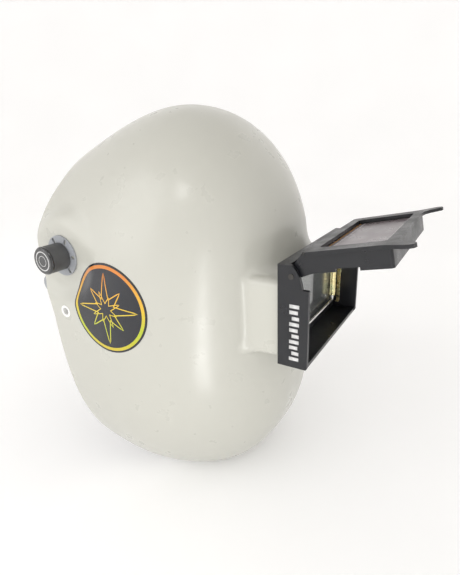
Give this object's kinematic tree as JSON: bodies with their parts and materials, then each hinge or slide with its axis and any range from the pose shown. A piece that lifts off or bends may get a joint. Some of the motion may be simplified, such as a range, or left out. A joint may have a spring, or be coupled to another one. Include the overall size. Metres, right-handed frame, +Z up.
{
  "type": "welding helmet",
  "caption": "Bowl-shaped pipeliner welding helmet with a lift-front lens holder, side tension knobs and a ratchet headgear that the shell swings up on.",
  "frame": {"origin": "middle of the axis through the two headgear pivots, at the wearer's temples", "axes": "+X to the wearer's left, -Y forwards through the lens, +Z up as worn"},
  "size_m": [0.2456, 0.392, 0.3369],
  "materials": {
    "shell_gelcoat": "cream gelcoat with a slight orange peel",
    "badge_print": "printed black label with a coloured rim",
    "white_nylon": "white nylon",
    "black_plastic": "fine-grained black moulding",
    "headgear_plastic": "semi-matt black moulding",
    "grey_plastic": "light grey moulding",
    "steel": "zinc-plated wire and screws",
    "brass": "yellow-passivated metal",
    "seal_rubber": "matt rubber",
    "clear_glass": "clear polished glass",
    "cover_film": "cover lens under its purple-grey protective film",
    "dark_glass": "dark green filter glass",
    "comfort_fabric": "perforated foam-backed cloth",
    "fibre_washer": "red-brown vulcanised fibre",
    "knob_grey": "dark grey moulding",
    "knob_gloss": "gloss black cap"
  },
  "bodies": {
    "headgear": {"headband": "headgear_plastic", "sweatband": "comfort_fabric", "crown_strap_right": "headgear_plastic", "crown_strap_left": "headgear_plastic", "crown_pin": "headgear_plastic", "rear_crown_strap": "headgear_plastic", "band_rivets": "steel", "right_pivot_arm": "grey_plastic", "left_pivot_arm": "grey_plastic", "pivot_studs": "steel", "inner_washers": "fibre_washer"},
    "helmet": {"shell": "shell_gelcoat", "side_roundels": "badge_print", "stop_eyelets": "white_nylon", "stop_pegs": "headgear_plastic", "outer_washers": "grey_plastic", "lens_holder": "black_plastic", "backing_frame": "black_plastic", "holder_screws": "steel", "lens_gasket": "seal_rubber", "clear_lens": "clear_glass", "leaf_springs": "brass", "lid_hinge_pins": "steel"},
    "bail": {"lens_bail": "steel", "bail_sleeves": "brass"},
    "lid": {"lid_frame": "black_plastic", "lid_gasket": "seal_rubber", "lid_cover_lens": "cover_film", "shade_lens": "dark_glass", "lid_lens_clip": "steel"},
    "right_knob": {"right_knob_body": "knob_grey", "right_knob_cap": "knob_gloss", "right_knob_insert": "brass"},
    "left_knob": {"left_knob_body": "knob_grey", "left_knob_cap": "knob_gloss", "left_knob_insert": "brass"},
    "size_adjuster": {"rear_band": "headgear_plastic", "nape_pad": "comfort_fabric", "ratchet_housing": "headgear_plastic", "ratchet_cover": "headgear_plastic", "ratchet_spring": "steel"},
    "size_knob": {"ratchet_knob": "headgear_plastic", "ratchet_pinion": "white_nylon"}
  },
  "joints": [
    {"name": "helmet_flip", "type": "hinge", "parent": "headgear", "child": "helmet", "pos_m": [0, 0, 0], "axis": [-1, 0, 0], "range_deg": [0, 50]},
    {"name": "lid_hinge", "type": "hinge", "parent": "helmet", "child": "lid", "pos_m": [0, -0.1862, -0.0047], "axis": [1, 0, 0], "range_deg": [0, 101.4]},
    {"name": "bail_hinge", "type": "hinge", "parent": "helmet", "child": "bail", "pos_m": [0, -0.1809, -0.008], "axis": [-1, 0, 0], "range_deg": [0, 7]},
    {"name": "right_knob_turn", "type": "hinge", "parent": "headgear", "child": "right_knob", "pos_m": [-0.115, 0, 0], "axis": [-1, 0, 0], "range_deg": [-180, 180]},
    {"name": "left_knob_turn", "type": "hinge", "parent": "headgear", "child": "left_knob", "pos_m": [0.115, 0, 0], "axis": [1, 0, 0], "range_deg": [-180, 180]},
    {"name": "size_slide", "type": "slide", "parent": "headgear", "child": "size_adjuster", "axis": [0, 0.9703, -0.2419], "range_m": [-0.006, 0.012]},
    {"name": "size_knob_turn", "type": "hinge", "parent": "size_adjuster", "child": "size_knob", "pos_m": [0, 0.1175, -0.02311], "axis": [0, 0.9703, -0.2419], "range_deg": [-45, 87]}
  ],
  "couplings": [
    {"joint": "size_knob_turn", "follows": "size_slide", "rad_per_m": 125}
  ]
}
